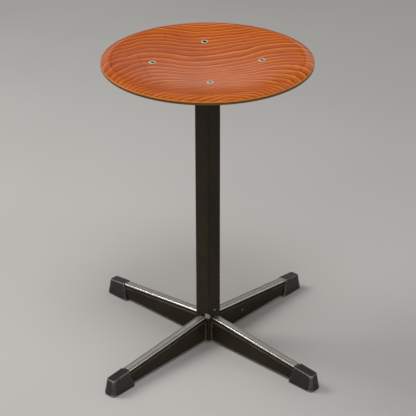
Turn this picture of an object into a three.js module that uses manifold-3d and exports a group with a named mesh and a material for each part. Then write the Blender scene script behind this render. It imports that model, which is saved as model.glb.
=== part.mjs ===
// Adjustable swivel stool: a dished round plywood seat on a threaded spindle, which turns in a nut at the
// top of a square steel column. Four tapered channel legs are welded to the column's foot. Each leg carries
// a bright trim strip along its top and ends in a moulded foot.
// Millimetres, +Z up. The origin is on the floor, on the column's axis. The legs lie along +X, +Y, -X, -Y.
// Turning the seat anticlockwise, seen from above, raises it by one thread lead per turn.

import * as THREE from "three";
import { mergeVertices } from "three/addons/utils/BufferGeometryUtils.js";
import Module from "manifold-3d";

const wasm = await Module();
wasm.setup();

// ---- Driving dimensions ----

const GAP = 0.3; // between pieces that touch on the real stool
const RUNNING_CLEARANCE = 0.4; // between pieces that slide or turn in each other

const COLUMN = { width: 30, wall: 2, corner: 1.6, boreCorner: 0.6, bottom: 5.5, top: 470 };
const BORE = COLUMN.width - 2 * COLUMN.wall;
const PLUG = { top: 70, wall: 3, floor: 3 };
const PLUG_SCREW = { z: 62, radius: 1, length: 4.5, headRadius: 1.7, head: 0.8 };

// The line along the top of the trims, which the feet carry on at the same slope.
const TOP_LINE = { atColumn: 49.7, atFoot: 31.6, footMouth: 200.5 };

const LEG = { width: 16, wall: 2, corner: 1.5, bottom: COLUMN.bottom, end: 226, belowTopLine: 6.8 };
const TRIM = { width: 14, depth: 2.8, shoulder: 1.1, edgeGroove: 4.9, ribs: 5, ribDepth: 0.35, end: 199.4 };
const RAIL = { width: 10.5, end: 198.6 };
const FOOT = {
  bottom: { inner: 190.5, outer: 243.5, halfWidth: 14, innerCorner: 3, outerCorner: 9 },
  top: { inner: TOP_LINE.footMouth, outer: 238.5, halfWidth: 9.4, innerCorner: 2.5, outerCorner: 5.5 },
  aboveTopLine: 0.4,
  flare: 1.3, // 1 for straight sides, more for sides that spread towards the floor
  edge: 2,
};

// Radii and lead; the crest and each flank are shares of the lead. sides is the number of flats per turn.
const THREAD = { major: 10, minor: 7.8, lead: 8, crest: 0.34, flank: 0.13, sides: 14 };
const TRAVEL = 120; // how far the seat rises from its lowest place
const NUT = { bottom: 436, flange: 5, flangeWidth: 33, corner: 2 };
const NUT_SCREW = { z: 456, radius: 2.4, length: 3.8, headRadius: 4.2, head: 2.2 };
const WASHER = { thickness: 2, outer: 15, inner: 11 };
const GUIDE = { height: 28, corner: 1.5 };
const SPINDLE = { journal: 6.5, stub: 7.5 }; // radii below and above the thread
const END_SCREW = { radius: 3.8, depth: 16, head: 5, acrossFlats: 13, washer: 11 };

const SEAT = {
  radius: 170,
  ridgeHeight: 523,
  dishRadius: 152, // where the dish ends and the rim starts to curl down
  dishCurve: 0.0007, // the dish's slope grows by this much per millimetre from the middle
  rimSlope: -0.42, // of the top at its outer edge
  thickness: 8,
  edgeThickness: 6,
  roundTop: 1.2,
  roundBottom: 2,
  sides: 60,
};
const SEAT_TURN = THREE.MathUtils.degToRad(45.6); // of the rivet cross from the legs, at the lowest place
const SPIDER = { thickness: 3, reach: 100, halfWidth: 15, hubRadius: 34, bendSteps: 4 };
const BOSS = { flange: 4, flangeRadius: 28, neckRadius: 15 };
const PIN = { radius: 2.5, length: 28 };
const RIVET = { at: 87, head: 5.8, headRise: 1.4, shank: 4, bore: 3.2, tailRise: 1.4, sides: 14 };

// ---- Heights that follow from the dimensions above ----

const nutTop = COLUMN.top + GAP + NUT.flange;
const washerTop = nutTop + GAP + WASHER.thickness;
const bossBottom = washerTop + RUNNING_CLEARANCE;
const threadTop = bossBottom - GAP;
const guideTop = NUT.bottom - TRAVEL - 2;
const guideBottom = guideTop - GUIDE.height;
const threadBottom = guideTop + RUNNING_CLEARANCE;
const spindleBottom = guideBottom - RUNNING_CLEARANCE;
const endWasherBottom = spindleBottom - GAP - WASHER.thickness;
const spiderTop = seatUndersideAt(0) - GAP;
const bossTop = spiderTop - SPIDER.thickness - GAP;
const pinHeight = (bossBottom + bossTop - BOSS.flange) / 2;

function topLineAt(x) {
  const slope = (TOP_LINE.atFoot - TOP_LINE.atColumn) / (TOP_LINE.footMouth - COLUMN.width / 2);
  return TOP_LINE.atColumn + slope * (x - COLUMN.width / 2);
}

// The seat's top above its middle: a dish, and a rim that passes over a ridge and curls down.
function seatRiseAt(r) {
  const dish = Math.min(r, SEAT.dishRadius);
  const beyond = r - dish;
  const startSlope = SEAT.dishCurve * SEAT.dishRadius;
  const bend = (SEAT.rimSlope - startSlope) / (SEAT.radius - SEAT.dishRadius);
  return (SEAT.dishCurve * dish ** 2) / 2 + startSlope * beyond + (bend * beyond ** 2) / 2;
}

function seatTopAt(r) {
  const startSlope = SEAT.dishCurve * SEAT.dishRadius;
  const share = startSlope / (startSlope - SEAT.rimSlope);
  const ridgeRadius = SEAT.dishRadius + share * (SEAT.radius - SEAT.dishRadius);
  return SEAT.ridgeHeight - seatRiseAt(ridgeRadius) + seatRiseAt(r);
}

function seatUndersideAt(r) {
  return seatTopAt(r) - SEAT.thickness;
}

// ---- Materials ----

function material(color, roughness, metalness = 0) {
  return new THREE.MeshStandardMaterial({ color, roughness, metalness });
}

const blackPaint = material(0x1c1916, 0.38);
const aluminium = material(0xc2c1bb, 0.32, 1);
const blackRubber = material(0x1d1f20, 0.55);
const bareSteel = material(0x8d8c88, 0.4, 1);
const nickel = material(0xb4b5ae, 0.3, 1);
const whiteNylon = material(0xcfcabb, 0.5);
const stainedBeech = material(0xb4501c, 0.3);

// ---- Geometry helpers ----

// A closed geometry as a manifold-3d solid. A solid that comes out inside out is turned the right way.
function solidOf(geometry) {
  const bare = new THREE.BufferGeometry().setAttribute("position", geometry.getAttribute("position").clone());
  if (geometry.index) bare.setIndex(geometry.index.clone());
  const merged = mergeVertices(bare, 1e-4);
  const vertProperties = merged.attributes.position.array;
  const make = (triVerts) => new wasm.Manifold(new wasm.Mesh({ numProp: 3, vertProperties, triVerts }));
  const triangles = new Uint32Array(merged.index.array);
  const solid = make(triangles);
  return solid.volume() > 0 ? solid : make(triangles.reverse());
}

function geometryOf(solid) {
  const mesh = solid.getMesh();
  const positions = new Float32Array(mesh.numVert * 3);
  for (let i = 0; i < mesh.numVert; i++) {
    positions.set(mesh.vertProperties.subarray(i * mesh.numProp, i * mesh.numProp + 3), i * 3);
  }
  return new THREE.BufferGeometry()
    .setAttribute("position", new THREE.BufferAttribute(positions, 3))
    .setIndex(new THREE.BufferAttribute(mesh.triVerts, 1));
}

// A closed body through sections of the same number of points. flat gives a point's two coordinates in the
// plane in which an end section is filled.
function loft(sections, flat) {
  const count = sections[0].length;
  const index = [];
  for (let s = 0; s + 1 < sections.length; s++) {
    for (let i = 0; i < count; i++) {
      const j = (i + 1) % count;
      const [a, b, c, d] = [s * count + i, s * count + j, (s + 1) * count + j, (s + 1) * count + i];
      index.push(a, b, c, a, c, d);
    }
  }
  const outline = sections[0].map(flat);
  const fill = THREE.ShapeUtils.triangulateShape(outline, []);
  const area = ([a, b, c]) => THREE.ShapeUtils.area([outline[a], outline[b], outline[c]]);
  const anticlockwise = fill.reduce((sum, triangle) => sum + area(triangle), 0) > 0;
  const last = (sections.length - 1) * count;
  for (const [a, b, c] of fill) {
    const [p, q] = anticlockwise ? [b, c] : [c, b];
    index.push(a, q, p, last + a, last + p, last + q);
  }
  const positions = sections.flat().flatMap((p) => [p.x, p.y, p.z]);
  const geometry = new THREE.BufferGeometry();
  geometry.setAttribute("position", new THREE.Float32BufferAttribute(positions, 3));
  return geometry.setIndex(index);
}

// The outline of a rectangle from (x0, y0) to (x1, y1), whose corners have the given radii, anticlockwise
// from the lower left.
function roundedOutline(x0, y0, x1, y1, radii, steps = 4) {
  const corners = [
    [x0, y0, 1, 1, Math.PI],
    [x1, y0, -1, 1, 1.5 * Math.PI],
    [x1, y1, -1, -1, 0],
    [x0, y1, 1, -1, 0.5 * Math.PI],
  ];
  return corners.flatMap(([x, y, dx, dy, from], k) => {
    const r = radii[k];
    return Array.from({ length: steps + 1 }, (_, i) => {
      const angle = from + (i / steps) * 0.5 * Math.PI;
      return new THREE.Vector2(x + dx * r + r * Math.cos(angle), y + dy * r + r * Math.sin(angle));
    });
  });
}

function squareOutline(width, corner, steps = 3) {
  const half = width / 2;
  return roundedOutline(-half, -half, half, half, [corner, corner, corner, corner], steps);
}

// An upright prism of an outline in the XY plane.
function prism(outline, bottom, top) {
  const at = (z) => outline.map((p) => new THREE.Vector3(p.x, p.y, z));
  return loft([at(bottom), at(top)], (p) => new THREE.Vector2(p.x, p.y));
}

// A body of revolution about Z, from [radius, height] pairs.
function turned(profile, sides = 32) {
  const points = profile.map(([r, z]) => new THREE.Vector2(r, z));
  return new THREE.LatheGeometry(points, sides).rotateX(Math.PI / 2);
}

const cylinder = (radius, bottom, top, sides = 24) =>
  turned([[0, bottom], [radius, bottom], [radius, top], [0, top]], sides);

// A cylinder along X, centred on x = 0.
const crossCylinder = (radius, length, z, sides = 16) =>
  new THREE.CylinderGeometry(radius, radius, length, sides).rotateZ(Math.PI / 2).translate(0, 0, z);

function piece(name, geometry, look) {
  const mesh = new THREE.Mesh(geometry, look);
  mesh.name = name;
  return mesh;
}

// The body without the space that the tools take up.
function cut(body, ...tools) {
  return geometryOf(tools.reduce((solid, tool) => solid.subtract(solidOf(tool)), solidOf(body)));
}

// ---- Thread ----

// A right-hand screw of a trapezoid section from z = bottom to z = top. grow makes it larger all round,
// which gives the space that a nut needs. A crest's middle is at height lead * angle / 360 degrees, so every
// screw made here is in line with the others.
function screw(bottom, top, grow = 0) {
  const { major, minor, lead, flank, sides } = THREAD;
  const crest = THREAD.crest + (2 * grow) / lead;
  const section = [
    [minor + grow, -crest / 2 - flank],
    [major + grow, -crest / 2],
    [major + grow, crest / 2],
    [minor + grow, crest / 2 + flank],
  ];
  const rows = section.length;
  const turns = Math.ceil((top - bottom) / lead) + 3;
  const firstTurn = Math.round((bottom / lead - 1.5) * sides) / sides;
  const points = [];
  for (let step = 0; step <= turns * sides; step++) {
    const turn = firstTurn + step / sides;
    const angle = 2 * Math.PI * turn;
    for (const [r, share] of section) {
      points.push(new THREE.Vector3(r * Math.cos(angle), r * Math.sin(angle), lead * (turn + share)));
    }
  }

  // Row 4 of a step is row 0 of the same angle one turn higher.
  const id = (step, row) => (row < rows ? step * rows + row : (step + sides) * rows);
  const index = [];
  for (let step = 0; step < turns * sides; step++) {
    const lastTurn = step + 1 + sides > turns * sides;
    for (let row = 0; row < (lastTurn ? rows - 1 : rows); row++) {
      const [a, b, c, d] = [id(step, row), id(step + 1, row), id(step + 1, row + 1), id(step, row + 1)];
      index.push(a, b, c, a, c, d);
    }
  }

  // Each end's open edge runs once round the axis and back along one section. It closes on a point.
  const end = points.length;
  points.push(new THREE.Vector3(0, 0, points[0].z - lead / 2));
  points.push(new THREE.Vector3(0, 0, points[end - 1].z + lead / 2));
  const oneTurn = [...Array(sides + 1).keys()];
  const lowEdge = [...oneTurn.map((step) => id(step, 0)), id(0, 3), id(0, 2), id(0, 1)];
  const top0 = (turns - 1) * sides;
  const last = turns * sides;
  const highEdge = [...oneTurn.map((step) => id(top0 + step, 3)), id(last, 2), id(last, 1), id(last, 0)];
  lowEdge.forEach((a, k) => index.push(lowEdge[(k + 1) % lowEdge.length], a, end));
  highEdge.forEach((a, k) => index.push(a, highEdge[(k + 1) % highEdge.length], end + 1));

  const trim = cylinder(major + grow + 1, bottom, top, 2 * sides);
  return solidOf(new THREE.BufferGeometry().setFromPoints(points).setIndex(index)).intersect(solidOf(trim));
}

// ---- Base ----

function columnTube() {
  const outer = prism(squareOutline(COLUMN.width, COLUMN.corner), COLUMN.bottom, COLUMN.top);
  const bore = prism(squareOutline(BORE, COLUMN.boreCorner), COLUMN.bottom - 1, COLUMN.top + 1);
  const nutScrewHoles = crossCylinder(NUT_SCREW.radius + GAP, COLUMN.width + 2, NUT_SCREW.z);
  const plugScrewHole = crossCylinder(PLUG_SCREW.radius + GAP, COLUMN.width, PLUG_SCREW.z);
  plugScrewHole.translate(COLUMN.width / 2, 0, 0);
  return piece("column_tube", cut(outer, bore, nutScrewHoles, plugScrewHole), blackPaint);
}

function columnPlug() {
  const width = BORE - 2 * GAP;
  const outer = prism(squareOutline(width, 1.2), COLUMN.bottom, PLUG.top);
  const hollow = prism(squareOutline(width - 2 * PLUG.wall, 1), COLUMN.bottom + PLUG.floor, PLUG.top + 1);
  const hole = crossCylinder(PLUG_SCREW.radius + GAP, COLUMN.width, PLUG_SCREW.z).translate(width / 2, 0, 0);
  return piece("column_plug", cut(outer, hollow, hole), blackRubber);
}

// A pan-head screw whose head seats on the column's +X face, pointing inwards.
function faceScrew({ z, radius, length, headRadius, head }) {
  const profile = [
    [0, -length],
    [radius, -length],
    [radius, GAP],
    [headRadius, GAP],
    [headRadius, GAP + 0.5 * head],
    [0.7 * headRadius, GAP + 0.9 * head],
    [0, GAP + head],
  ];
  return turned(profile, 18).rotateY(Math.PI / 2).translate(COLUMN.width / 2, 0, z);
}

// The leg's upright section at a distance x from the column's axis, larger all round by grow.
function legSection(x, grow = 0) {
  const half = LEG.width / 2 + grow;
  const corner = Math.max(LEG.corner + grow, 0.3);
  const top = topLineAt(x) - LEG.belowTopLine + grow;
  const outline = roundedOutline(-half, LEG.bottom - grow, half, top, [0.4, 0.4, corner, corner]);
  return outline.map((p) => new THREE.Vector3(x, p.x, p.y));
}

const upright = (p) => new THREE.Vector2(p.y, p.z);

function legGeometry() {
  const start = COLUMN.width / 2 + GAP;
  const outer = loft([legSection(start), legSection(LEG.end)], upright);
  const hollow = loft([legSection(start - 1, -LEG.wall), legSection(LEG.end + 1, -LEG.wall)], upright);
  const bottomOpening = new THREE.BoxGeometry(2 * LEG.end, LEG.width - 2 * LEG.wall, 2 * LEG.bottom);
  bottomOpening.translate(LEG.end, 0, LEG.bottom);
  return cut(outer, hollow, bottomOpening);
}

// A strip that runs along the top of the leg. Its outline gives its width against its height above the
// line along the top of the trims.
function stripGeometry(outline, end) {
  const at = (x) => outline.map((p) => new THREE.Vector3(x, p.x, topLineAt(x) + p.y));
  return loft([at(COLUMN.width / 2 + GAP), at(end)], upright);
}

// The dark rail between the leg and its trim strip.
function railGeometry() {
  const half = RAIL.width / 2;
  const bottom = GAP - LEG.belowTopLine;
  const top = -TRIM.depth - GAP;
  return stripGeometry(roundedOutline(-half, bottom, half, top, [0.5, 0.5, 0.5, 0.5], 2), RAIL.end);
}

// A flat strip with rounded shoulders, a groove near each edge, and fine ribs along the middle.
function trimGeometry() {
  const half = TRIM.width / 2;
  const steps = 3;
  const radii = [0.5, 0.5, TRIM.shoulder, TRIM.shoulder];
  const outline = roundedOutline(-half, -TRIM.depth, half, 0, radii, steps);
  const beforeTop = outline.slice(0, 3 * (steps + 1));
  const afterTop = outline.slice(3 * (steps + 1));
  const grooveWidth = 0.7;
  const groove = (side) =>
    [1, 0.6, -0.6, -1].map((t) => {
      const depth = Math.abs(t) < 1 ? TRIM.ribDepth : 0;
      return new THREE.Vector2(side * TRIM.edgeGroove + (t * grooveWidth) / 2, -depth);
    });
  const span = TRIM.edgeGroove - grooveWidth;
  const pitch = (2 * span) / TRIM.ribs;
  const ribs = Array.from({ length: TRIM.ribs - 1 }, (_, i) => span - (i + 1) * pitch).flatMap((y) => [
    new THREE.Vector2(y + 0.2 * pitch, 0),
    new THREE.Vector2(y, -TRIM.ribDepth),
    new THREE.Vector2(y - 0.2 * pitch, 0),
  ]);
  return stripGeometry([...beforeTop, ...groove(1), ...ribs, ...groove(-1), ...afterTop], TRIM.end);
}

// One level of the foot, from 0 at the floor to 1 at its top, drawn in by inset.
function footSection(level, inset) {
  const spread = (1 - level) ** FOOT.flare;
  const between = (key) => FOOT.top[key] + (FOOT.bottom[key] - FOOT.top[key]) * spread;
  const half = between("halfWidth") - inset;
  const inner = Math.max(between("innerCorner") - inset, 0.6);
  const outer = between("outerCorner") - inset;
  const radii = [inner, outer, outer, inner];
  const outline = roundedOutline(between("inner") + inset, -half, between("outer") - inset, half, radii, 3);
  return outline.map((p) => new THREE.Vector3(p.x, p.y, level * (topLineAt(p.x) + FOOT.aboveTopLine)));
}

function footGeometry() {
  const edge = FOOT.edge;
  const height = TOP_LINE.atFoot;
  const quarter = [0, 30, 60, 90].map(THREE.MathUtils.degToRad);
  const lower = quarter.map((a) => [(edge * (1 - Math.cos(a))) / height, edge * (1 - Math.sin(a))]);
  const middle = [0.25, 0.45, 0.7].map((level) => [level, 0]);
  const upper = quarter.map((a) => [1 - (edge * (1 - Math.sin(a))) / height, edge * (1 - Math.cos(a))]);
  const sections = [...lower, ...middle, ...upper].map(([level, inset]) => footSection(level, inset));
  const body = loft(sections, (p) => new THREE.Vector2(p.x, p.y));
  const socket = loft([legSection(FOOT.bottom.inner - 10, GAP), legSection(LEG.end + GAP, GAP)], upright);
  return cut(body, socket);
}

// A square block in the column's top with a flange over its end.
function nut() {
  const blockWidth = BORE - 2 * GAP;
  const block = prism(squareOutline(blockWidth, 1), NUT.bottom, COLUMN.top + GAP + 1);
  const flange = prism(squareOutline(NUT.flangeWidth, NUT.corner), COLUMN.top + GAP, nutTop);
  const holes = crossCylinder(NUT_SCREW.radius + GAP, COLUMN.width, NUT_SCREW.z);
  const thread = screw(NUT.bottom - 1, nutTop + 1, RUNNING_CLEARANCE);
  const solid = solidOf(block).add(solidOf(flange)).subtract(solidOf(holes)).subtract(thread);
  return piece("spindle_nut", geometryOf(solid), bareSteel);
}

function ring(inner, outer, bottom, top, sides = 24) {
  return turned([[inner, bottom], [outer, bottom], [outer, top], [inner, top], [inner, bottom]], sides);
}

function baseParts() {
  const parts = [columnTube(), columnPlug(), piece("plug_screw", faceScrew(PLUG_SCREW), nickel), nut()];
  const nutScrews = [0, 1].map((k) =>
    piece(`nut_screw_${k + 1}`, faceScrew(NUT_SCREW).rotateZ(k * Math.PI), nickel),
  );
  const washer = ring(WASHER.inner, WASHER.outer, nutTop + GAP, washerTop);
  parts.push(...nutScrews, piece("thrust_washer", washer, whiteNylon));
  const quarterParts = [
    ["leg", legGeometry, blackPaint],
    ["trim_rail", railGeometry, blackRubber],
    ["trim_strip", trimGeometry, aluminium],
    ["foot", footGeometry, blackRubber],
  ];
  for (const [name, build, look] of quarterParts) {
    for (let k = 0; k < 4; k++) {
      parts.push(piece(`${name}_${k + 1}`, build().rotateZ((k * Math.PI) / 2), look));
    }
  }
  return parts;
}

// ---- Guide ----

// The block that keeps the spindle's lower end in the middle of the column. It rises with the spindle and
// does not turn.
function guideBlock() {
  const block = prism(squareOutline(BORE - 2 * RUNNING_CLEARANCE, GUIDE.corner), guideBottom, guideTop);
  const bore = cylinder(SPINDLE.journal + RUNNING_CLEARANCE, guideBottom - 1, guideTop + 1);
  return piece("guide_block", cut(block, bore), whiteNylon);
}

// ---- Seat ----

function spindle() {
  const stubTop = bossTop - 1;
  const journal = cylinder(SPINDLE.journal, spindleBottom, threadBottom + 2);
  const stub = cylinder(SPINDLE.stub, threadTop - 2, stubTop);
  const endHole = cylinder(END_SCREW.radius + GAP, spindleBottom - 1, spindleBottom + END_SCREW.depth, 18);
  const pinHole = crossCylinder(PIN.radius + GAP, 4 * SPINDLE.stub, pinHeight).rotateZ(SEAT_TURN);
  const solid = screw(threadBottom, threadTop).add(solidOf(journal)).add(solidOf(stub));
  return piece("spindle", geometryOf(solid.subtract(solidOf(endHole)).subtract(solidOf(pinHole))), bareSteel);
}

function endFittings() {
  const washerTop = endWasherBottom + WASHER.thickness;
  const washer = ring(END_SCREW.radius + GAP, END_SCREW.washer, endWasherBottom, washerTop);
  const headTop = endWasherBottom - GAP;
  const head = cylinder(END_SCREW.acrossFlats / Math.sqrt(3), headTop - END_SCREW.head, headTop, 6);
  const shank = cylinder(END_SCREW.radius, headTop - 1, spindleBottom + END_SCREW.depth - 1, 18);
  const screwGeometry = geometryOf(solidOf(head).add(solidOf(shank)));
  return [piece("end_washer", washer, bareSteel), piece("end_screw", screwGeometry, nickel)];
}

function boss() {
  const { flange, flangeRadius, neckRadius } = BOSS;
  const bore = SPINDLE.stub + GAP;
  const profile = [
    [bore, bossBottom],
    [neckRadius - 1, bossBottom],
    [neckRadius, bossBottom + 1],
    [neckRadius, bossTop - flange - 3],
    [neckRadius + 3, bossTop - flange],
    [flangeRadius - 1, bossTop - flange],
    [flangeRadius, bossTop - flange + 1],
    [flangeRadius, bossTop],
    [bore, bossTop],
    [bore, bossBottom],
  ];
  const pinHole = crossCylinder(PIN.radius + GAP, 3 * neckRadius, pinHeight);
  return piece("seat_boss", cut(turned(profile, 28), pinHole), blackPaint);
}

// One arm of the spider, along +X. It follows the underside of the seat and has a round end.
function spiderArm() {
  const { reach, halfWidth, thickness, hubRadius, bendSteps } = SPIDER;
  const endStart = reach - halfWidth;
  const straight = Array.from({ length: bendSteps + 1 }, (_, i) => [
    0.5 * hubRadius + (i / bendSteps) * (endStart - 0.5 * hubRadius),
    halfWidth,
  ]);
  const rounded = [20, 40, 60, 80].map((degrees) => {
    const angle = THREE.MathUtils.degToRad(degrees);
    return [endStart + halfWidth * Math.sin(angle), halfWidth * Math.cos(angle)];
  });
  const sections = [...straight, ...rounded].map(([x, half]) => {
    const top = seatUndersideAt(x) - GAP;
    const corners = [[-half, top - thickness], [half, top - thickness], [half, top], [-half, top]];
    return corners.map(([y, z]) => new THREE.Vector3(x, y, z));
  });
  return loft(sections, upright);
}

function spider() {
  const hub = cylinder(SPIDER.hubRadius, spiderTop - SPIDER.thickness, spiderTop, 32);
  let solid = solidOf(hub);
  for (let k = 0; k < 4; k++) {
    solid = solid.add(solidOf(spiderArm().rotateZ((k * Math.PI) / 2)));
  }
  for (let k = 0; k < 4; k++) {
    solid = solid.subtract(solidOf(rivetHole().rotateZ((k * Math.PI) / 2)));
  }
  return piece("seat_spider", geometryOf(solid), blackPaint);
}

// Puts a body of revolution, built about Z with the seat's top at height 0, in its place across the seat.
function acrossSeat(geometry) {
  return geometry.rotateY(-Math.atan(SEAT.dishCurve * RIVET.at)).translate(RIVET.at, 0, seatTopAt(RIVET.at));
}

function rivetHole() {
  return acrossSeat(cylinder(RIVET.shank + GAP, -2 * SEAT.thickness, SEAT.thickness, RIVET.sides));
}

// A tubular rivet with a rolled head on the seat and a rolled tail under the spider.
function rivetGeometry() {
  const { bore, shank, head, headRise, tailRise, sides } = RIVET;
  const tail = -SEAT.thickness - SPIDER.thickness - 2 * GAP - 0.1;
  const profile = [
    [bore, tail - 0.4 * tailRise],
    [bore + 1, tail - tailRise],
    [head - 1, tail - tailRise],
    [head, tail - 0.4 * tailRise],
    [head, tail],
    [shank, tail],
    [shank, GAP],
    [head, GAP],
    [head, 0.4 * headRise],
    [head - 1.2, headRise],
    [bore + 0.6, headRise],
    [bore, 0.6 * headRise],
    [bore, tail - 0.4 * tailRise],
  ];
  return acrossSeat(turned(profile, sides));
}

// A quarter round of the seat's edge, from one angle to another.
function edgeRound(radius, centreRadius, centreHeight, from, to, steps = 2) {
  return Array.from({ length: steps + 1 }, (_, i) => {
    const angle = from + (i / steps) * (to - from);
    return [centreRadius + radius * Math.cos(angle), centreHeight + radius * Math.sin(angle)];
  });
}

function seatShell() {
  const { radius, dishRadius, edgeThickness, roundTop, roundBottom } = SEAT;
  const edgeTop = seatTopAt(radius);
  const edgeBottom = edgeTop - edgeThickness;
  const dished = [0, 0.35, 0.6, 0.8, 0.93, 1].map((t) => t * dishRadius);
  const curled = [0.2, 0.45, 0.7].map((t) => dishRadius + t * (radius - dishRadius));
  const profile = [
    ...dished.map((r) => [r, seatUndersideAt(r)]),
    ...edgeRound(roundBottom, radius - roundBottom, edgeBottom + roundBottom, -Math.PI / 2, 0),
    ...edgeRound(roundTop, radius - roundTop, edgeTop - roundTop + 0.2, 0, 0.4 * Math.PI),
    ...[...dished, ...curled].reverse().map((r) => [r, seatTopAt(r)]),
  ];
  const holes = [0, 1, 2, 3].map((k) => rivetHole().rotateZ((k * Math.PI) / 2));
  return piece("seat_shell", cut(turned(profile, SEAT.sides), ...holes), stainedBeech);
}

function seatParts() {
  const rivets = [0, 1, 2, 3].map((k) =>
    piece(`rivet_${k + 1}`, rivetGeometry().rotateZ((k * Math.PI) / 2), nickel),
  );
  const pin = piece("boss_pin", crossCylinder(PIN.radius, PIN.length, pinHeight), bareSteel);
  const turning = [boss(), pin, spider(), seatShell(), ...rivets];
  turning.forEach((part) => part.geometry.rotateZ(SEAT_TURN));
  return [spindle(), ...endFittings(), ...turning];
}

// ---- Assembly ----

const stool = new THREE.Group();
stool.name = "adjustable_swivel_stool";
stool.add(...baseParts(), guideBlock(), ...seatParts());

export default stool;
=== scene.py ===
"""The looks of the adjustable swivel stool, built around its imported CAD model.

Shapes are in millimetres until make_object() turns them into metres. Materials and lights are in metres.
The legs lie along +X, +Y, -X and -Y, and the stool's axis is the Z axis. On the seat, U runs from left to
right as the camera sees it, and V away from the camera.
"""

import math
from collections import Counter
from contextlib import contextmanager

import bmesh
import bpy
from mathutils import Matrix, Vector, noise


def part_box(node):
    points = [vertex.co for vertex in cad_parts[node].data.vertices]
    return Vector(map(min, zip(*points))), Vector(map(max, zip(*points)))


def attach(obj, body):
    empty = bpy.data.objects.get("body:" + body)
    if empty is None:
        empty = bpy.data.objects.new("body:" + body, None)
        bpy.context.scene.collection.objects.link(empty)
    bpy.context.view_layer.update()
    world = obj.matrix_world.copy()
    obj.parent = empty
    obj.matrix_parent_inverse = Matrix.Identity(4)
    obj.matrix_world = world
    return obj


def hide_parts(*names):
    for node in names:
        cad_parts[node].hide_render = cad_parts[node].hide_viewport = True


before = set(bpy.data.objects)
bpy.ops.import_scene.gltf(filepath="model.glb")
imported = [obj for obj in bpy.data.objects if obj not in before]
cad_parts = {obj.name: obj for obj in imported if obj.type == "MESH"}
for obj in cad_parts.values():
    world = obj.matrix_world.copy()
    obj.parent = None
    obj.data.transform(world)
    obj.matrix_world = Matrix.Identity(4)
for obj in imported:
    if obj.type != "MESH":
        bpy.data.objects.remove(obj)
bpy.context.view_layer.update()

MM = 0.001
QUARTER = math.pi / 2
WELD_DISTANCE = 1e-6  # in metres
SHARP_ANGLE = math.radians(38)
FULL_BEND_ANGLE = math.radians(40)  # how far the surface turns at an edge that gets the full paler colour of painted highlight and wear


def box_mm(node):
    low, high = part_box(node)
    return low / MM, high / MM


def in_scene(name, data):
    made = bpy.data.objects.new(name, data)
    bpy.context.scene.collection.objects.link(made)
    return made


# ---- Camera ----

CAMERA_AZIMUTH = math.radians(42.69)
CAMERA_PITCH = 0.4795
CAMERA_ROLL = -0.0028
CAMERA_DISTANCE = 2.1426
CAMERA_HEIGHT = 1.36895
CAMERA_LENS = 125.05
CAMERA_SIDESTEP = 0.00025


def add_camera():
    data = bpy.data.cameras.new("camera")
    data.lens = CAMERA_LENS
    data.sensor_width = 36
    data.clip_end = 100
    camera = in_scene("camera", data)
    right = Vector((math.cos(CAMERA_AZIMUTH), math.sin(CAMERA_AZIMUTH), 0))
    back = Vector((math.sin(CAMERA_AZIMUTH), -math.cos(CAMERA_AZIMUTH), 0))
    place = back * CAMERA_DISTANCE + right * CAMERA_SIDESTEP + Vector((0, 0, CAMERA_HEIGHT))
    turn = Matrix.Rotation(CAMERA_AZIMUTH, 4, "Z") @ Matrix.Rotation(QUARTER - CAMERA_PITCH, 4, "X")
    camera.matrix_world = Matrix.Translation(place) @ turn @ Matrix.Rotation(CAMERA_ROLL, 4, "Z")
    bpy.context.scene.camera = camera


# ---- Node helpers ----


class Nodes:
    """A node tree. Its methods add nodes and return their outputs."""

    def __init__(self, tree):
        self.tree = tree

    def feed(self, socket, value):
        if isinstance(value, bpy.types.NodeSocket):
            self.tree.links.new(value, socket)
        else:
            socket.default_value = value

    def node(self, kind, inputs, **settings):
        made = self.tree.nodes.new(kind)
        for key, value in settings.items():
            setattr(made, key, value)
        for key, value in inputs.items():
            self.feed(made.inputs[key], value)
        return made

    def vector_math(self, operation, a, b, output=0):
        """Distances and dot products come from output 1."""
        return self.node("ShaderNodeVectorMath", {0: a, 1: b}, operation=operation).outputs[output]

    def ramp(self, value, *stops):
        """Each stop is (position, grey level) or (position, (r, g, b))."""
        made = self.node("ShaderNodeValToRGB", {0: value})
        elements = made.color_ramp.elements
        while len(elements) < len(stops):
            elements.new(0.5)
        for element, (position, level) in zip(elements, stops):
            element.position = position
            element.color = (*level, 1) if isinstance(level, tuple) else (level, level, level, 1)
        return made.outputs[0]


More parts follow.
